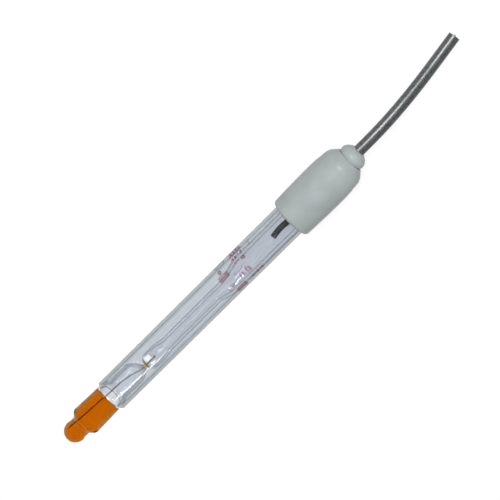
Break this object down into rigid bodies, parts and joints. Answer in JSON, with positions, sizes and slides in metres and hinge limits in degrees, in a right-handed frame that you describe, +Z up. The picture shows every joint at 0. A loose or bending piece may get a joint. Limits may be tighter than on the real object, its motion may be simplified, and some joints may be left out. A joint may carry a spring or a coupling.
{
  "type": "ph electrode",
  "caption": "Glass pH measuring electrode: clear shaft round an amber-filled chamber with a sensing bulb, a grey plastic cap with a grommet, and a short screened cable.",
  "frame": {"origin": "on the floor it lies on, under the middle of its length without the cable", "axes": "+X along the shaft from the bulb to the cable, +Z up from the floor"},
  "size_m": [0.1885, 0.0158, 0.016],
  "materials": {
    "clear_glass": "clear, fire polished",
    "solution": "clear amber liquid",
    "contact_wire": "dull, tarnished",
    "bead_glass": "gloss",
    "white_packing": "matt",
    "weld_metal": "dull",
    "tinned_wire": "satin",
    "black_sleeve": "satin",
    "solder": "satin",
    "grey_plastic": "fine satin",
    "cement": "matt",
    "grommet_plastic": "fine satin",
    "cable_sheath": "satin",
    "copper_braid": "braided",
    "cable_core_plastic": "gloss",
    "copper": "bright"
  },
  "bodies": {
    "root": {"outer_jacket": "clear_glass", "chamber_tube": "clear_glass", "membrane_bulb": "clear_glass", "contact_electrode": "contact_wire", "buffer_solution": "solution", "seal_bead": "bead_glass", "inner_tube": "clear_glass", "packing_plug": "white_packing", "weld_bead": "weld_metal", "lead_wire": "tinned_wire", "insulating_sleeve": "black_sleeve", "solder_joint": "solder", "cap": "grey_plastic", "potting": "cement", "strain_relief": "grommet_plastic", "cable_jacket": "cable_sheath", "cable_screen": "copper_braid", "cable_insulation": "cable_core_plastic", "cable_core": "copper"}
  },
  "joints": []
}
